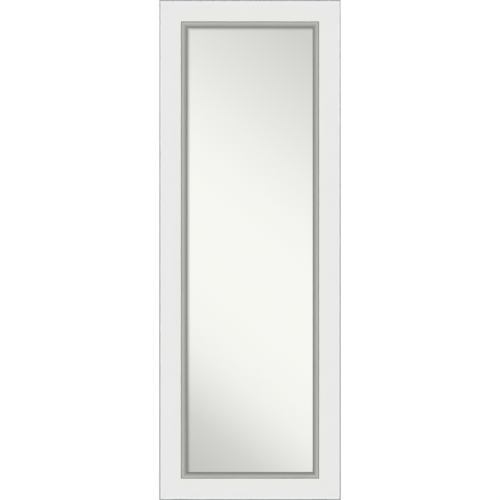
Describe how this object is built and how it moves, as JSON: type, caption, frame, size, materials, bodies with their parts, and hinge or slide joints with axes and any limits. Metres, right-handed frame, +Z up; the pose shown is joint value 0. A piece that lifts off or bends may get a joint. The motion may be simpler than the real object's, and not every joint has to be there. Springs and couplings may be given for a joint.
{
  "type": "floor mirror",
  "caption": "Full-length mirror in a flat white frame with a silver inner slip, leaning back on a folding rear leg, with D-ring hangers for a wall.",
  "frame": {"origin": "on the floor, in the middle of the footprint: midway between the frame's foremost edge and the rear leg's rearmost point, and midway across", "axes": "+Z up; -Y is the way the mirror faces; +X is to the right of a person who looks into the mirror"},
  "size_m": [0.4922, 0.3316, 1.3418],
  "materials": {
    "white_moulding": "satin",
    "silver_slip": "satin",
    "mirror_glass": "polished",
    "cardboard": "matte",
    "hardboard": "matte",
    "zinc_steel": "satin",
    "leg_paint": "satin",
    "grey_rubber": "matte",
    "black_plastic": "matte",
    "nylon": "satin",
    "soft_bumper": "satin"
  },
  "bodies": {
    "frame": {"rail_bottom": "white_moulding", "rail_top": "white_moulding", "stile_left": "white_moulding", "stile_right": "white_moulding", "slip_bottom": "silver_slip", "slip_top": "silver_slip", "slip_left": "silver_slip", "slip_right": "silver_slip", "corner_nails": "zinc_steel", "mirror_pane": "mirror_glass", "setting_blocks": "nylon", "cardboard_spacer": "cardboard", "backing_board": "hardboard", "offset_clips": "zinc_steel", "clip_screws": "zinc_steel", "corner_plate_bottom_left": "zinc_steel", "corner_plate_bottom_right": "zinc_steel", "corner_plate_top_left": "zinc_steel", "corner_plate_top_right": "zinc_steel", "corner_plate_screws": "zinc_steel", "hanger_plate_left": "zinc_steel", "hanger_plate_right": "zinc_steel", "hanger_screws": "zinc_steel", "wall_bumpers": "soft_bumper", "foot_left": "grey_rubber", "foot_right": "grey_rubber", "foot_screws": "zinc_steel", "pivot_bracket_left": "leg_paint", "pivot_bracket_right": "leg_paint", "pivot_bracket_screws": "zinc_steel", "pivot_bolt_left": "zinc_steel", "pivot_bolt_right": "zinc_steel", "pivot_nut_left": "zinc_steel", "pivot_nut_right": "zinc_steel", "pivot_washers": "nylon"},
    "easel_leg": {"leg_tube": "leg_paint", "leg_plug_left": "black_plastic", "leg_plug_right": "black_plastic", "leg_sleeve_left": "grey_rubber", "leg_sleeve_right": "grey_rubber"},
    "ring_left": {"hanger_ring_left": "zinc_steel"},
    "ring_right": {"hanger_ring_right": "zinc_steel"}
  },
  "joints": [
    {"name": "leg_fold", "type": "hinge", "parent": "frame", "child": "easel_leg", "pos_m": [0, 0.02614, 0.84708], "axis": [1, 0, 0], "range_deg": [-18.78, 0]},
    {"name": "ring_left_swing", "type": "hinge", "parent": "frame", "child": "ring_left", "pos_m": [-0.21265, 0.05955, 1.11028], "axis": [1, 0, 0], "range_deg": [-9, 169]},
    {"name": "ring_right_swing", "type": "hinge", "parent": "frame", "child": "ring_right", "pos_m": [0.21265, 0.05955, 1.11028], "axis": [1, 0, 0], "range_deg": [-9, 169]}
  ]
}
